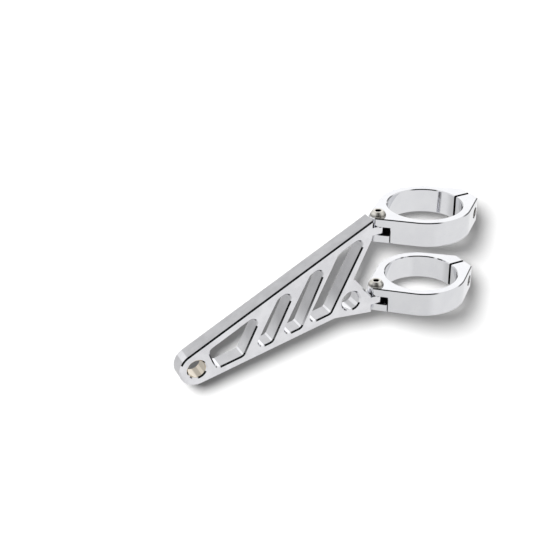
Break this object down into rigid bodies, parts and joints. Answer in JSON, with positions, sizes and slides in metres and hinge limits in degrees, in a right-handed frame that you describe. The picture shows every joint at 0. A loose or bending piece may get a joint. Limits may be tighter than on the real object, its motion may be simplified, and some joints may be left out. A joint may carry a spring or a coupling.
{
  "type": "headlight mounting bracket",
  "caption": "Slotted flat arm with a bolt eye at its tip, swivelling on split ring clamps that grip a fork tube.",
  "frame": {"origin": "on the fork tube's axis, at the middle of the lower clamp's bore", "axes": "+Z along the fork tube, from the lower clamp to the upper one; +X from the pivots through the bores to the slits, so the arm points along -X"},
  "size_m": [0.1812, 0.051, 0.0742],
  "materials": {
    "chrome": "polished chrome plate",
    "screw_steel": "bright stainless steel"
  },
  "bodies": {
    "arm": {"arm": "chrome"},
    "upper_clamp": {"upper_clamp": "chrome", "upper_nut_block": "chrome", "upper_pivot_screw": "screw_steel", "upper_pinch_screw": "screw_steel"},
    "lower_clamp": {"lower_clamp": "chrome", "lower_nut_block": "chrome", "lower_pivot_screw": "screw_steel", "lower_pinch_screw": "screw_steel"}
  },
  "joints": [
    {"name": "upper_swivel", "type": "hinge", "parent": "arm", "child": "upper_clamp", "pos_m": [-0.03, 0, 0.043], "axis": [0, 0, 1], "range_deg": [-45, 45]},
    {"name": "lower_swivel", "type": "hinge", "parent": "arm", "child": "lower_clamp", "pos_m": [-0.03, 0, 0], "axis": [0, 0, 1], "range_deg": [-45, 45]}
  ]
}
